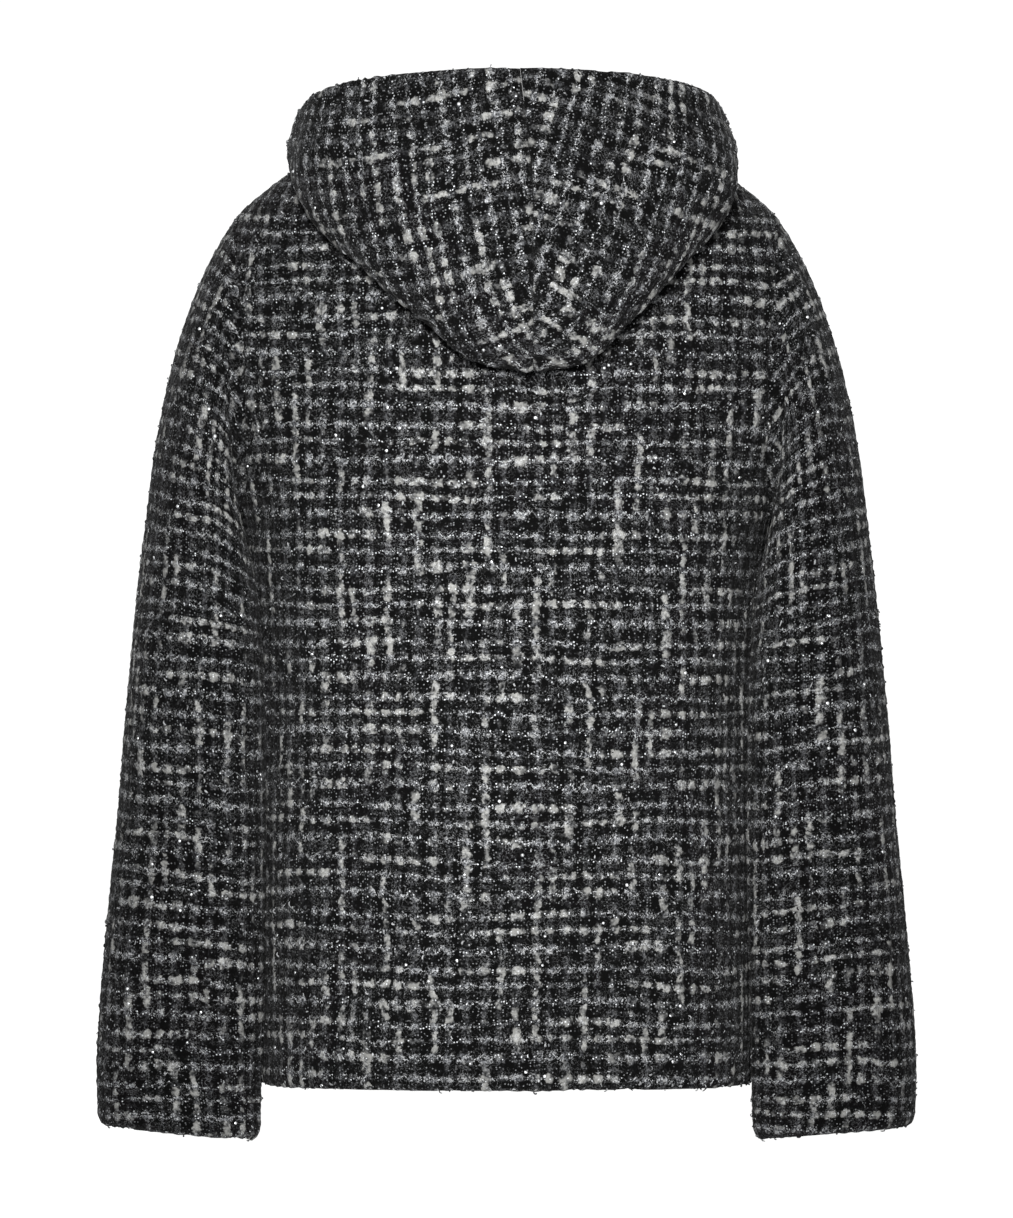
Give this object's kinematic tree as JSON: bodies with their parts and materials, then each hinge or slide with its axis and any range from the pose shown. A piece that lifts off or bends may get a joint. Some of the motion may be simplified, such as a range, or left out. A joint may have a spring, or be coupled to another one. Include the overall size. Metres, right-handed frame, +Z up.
{
  "type": "hooded tweed jacket",
  "caption": "Boxy hip-length jacket in chunky black, grey and white tweed, filled out as if worn, with its hood down and its neck, hem and cuffs open.",
  "frame": {"origin": "middle of the neck, level with the highest points of the shoulder seams, where the wearer's neck and shoulders hold the jacket up", "axes": "+Z up, +X towards the wearer's left, -Y the way the wearer faces"},
  "size_m": [0.5606, 0.296, 0.7259],
  "materials": {
    "tweed_back": "chunky boucle tweed, matt, plain weave of black and slubby grey and white yarns",
    "tweed_front": "chunky boucle tweed, matt, plain weave of black and slubby grey and white yarns",
    "tweed_sleeve": "chunky boucle tweed, matt, plain weave of black and slubby grey and white yarns",
    "tweed_hood": "chunky boucle tweed, matt, plain weave of black and slubby grey and white yarns"
  },
  "bodies": {
    "root": {"back": "tweed_back", "front_left": "tweed_front", "front_right": "tweed_front", "sleeve_left": "tweed_sleeve", "sleeve_right": "tweed_sleeve", "hood_left": "tweed_hood", "hood_right": "tweed_hood"}
  },
  "joints": []
}
